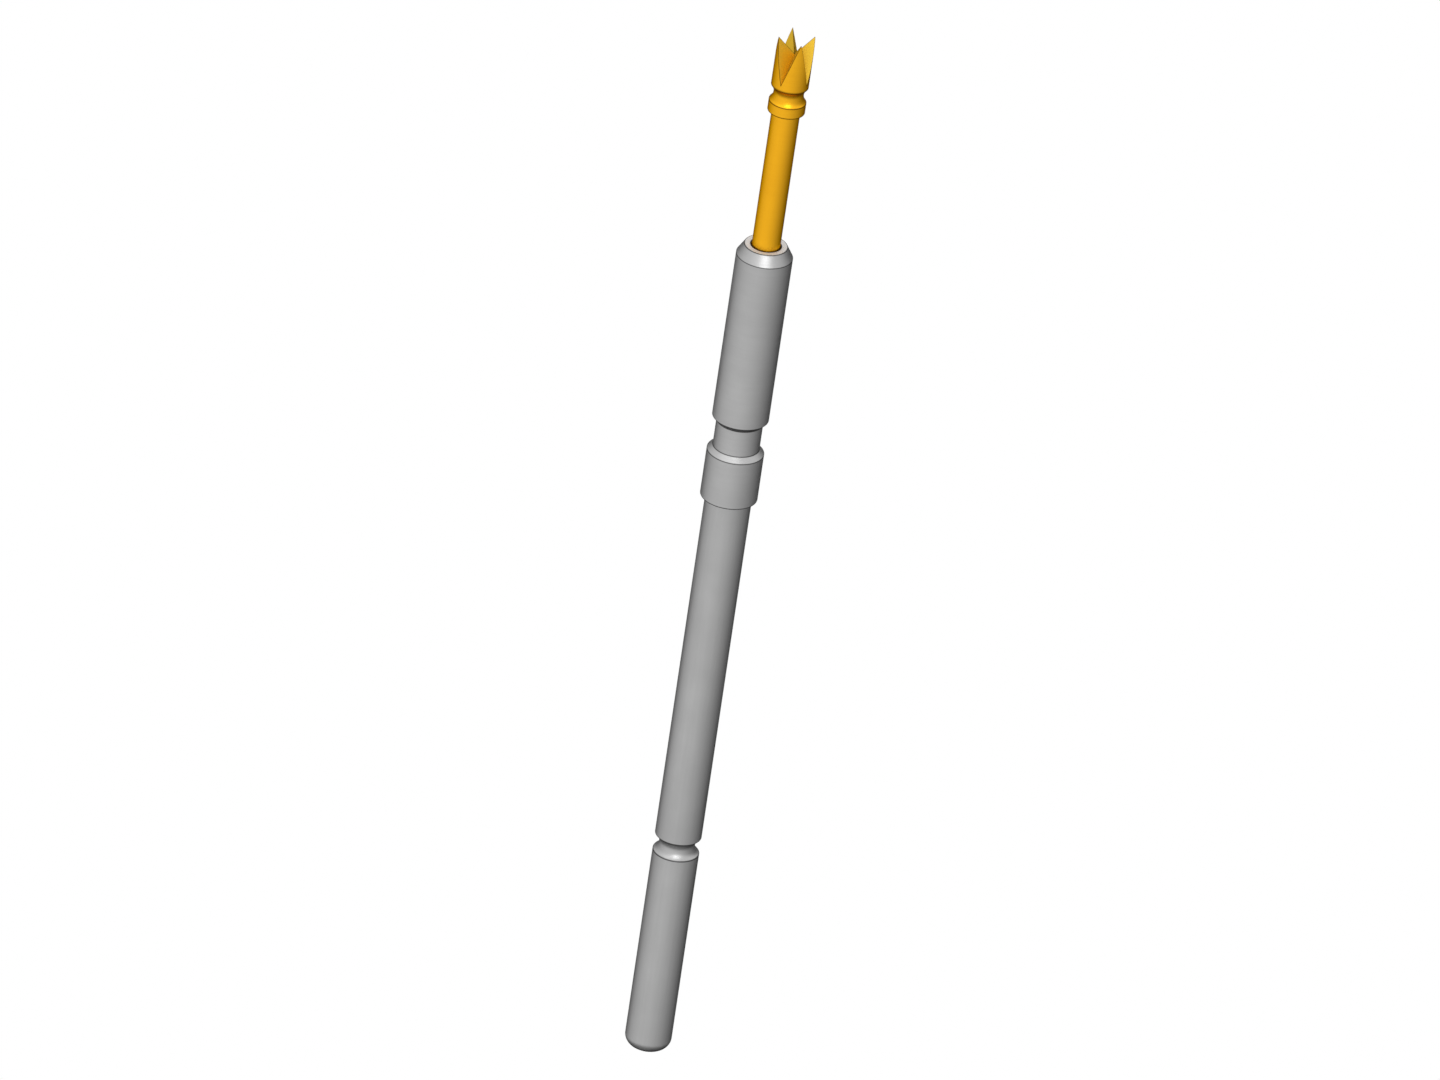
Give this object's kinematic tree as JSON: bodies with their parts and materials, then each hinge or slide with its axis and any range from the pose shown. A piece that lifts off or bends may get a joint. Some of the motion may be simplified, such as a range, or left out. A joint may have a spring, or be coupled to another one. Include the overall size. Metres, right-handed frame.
{
  "type": "pogo pin",
  "caption": "Spring-loaded contact pin: a plunger with a pointed crown slides in a round-ended barrel with a press collar and guide sleeve.",
  "frame": {"origin": "centre of the press collar's lower shoulder", "axes": "+Z along the pin's axis towards the crown, X and Y through the crown's points"},
  "size_m": [0.0016, 0.0016, 0.0336],
  "materials": {
    "nickel_plate": "satin nickel plate over drawn nickel silver",
    "gold_plate": "polished gold plate over turned copper alloy",
    "ball_steel": "polished bearing steel",
    "spring_wire": "drawn stainless spring wire"
  },
  "bodies": {
    "barrel": {"barrel": "nickel_plate"},
    "spring": {"spring": "spring_wire"},
    "plunger": {"plunger": "gold_plate", "bias_ball": "ball_steel"}
  },
  "joints": [
    {"name": "plunger_turn", "type": "hinge", "parent": "barrel", "child": "spring", "pos_m": [0, 0, 0], "axis": [0, 0, 1], "continuous": true},
    {"name": "plunger_stroke", "type": "slide", "parent": "spring", "child": "plunger", "axis": [0, 0, -1], "range_m": [0, 0.0044], "stiffness_N_per_m": 300, "springref_m": -0.003, "deforming": ["spring"]}
  ]
}
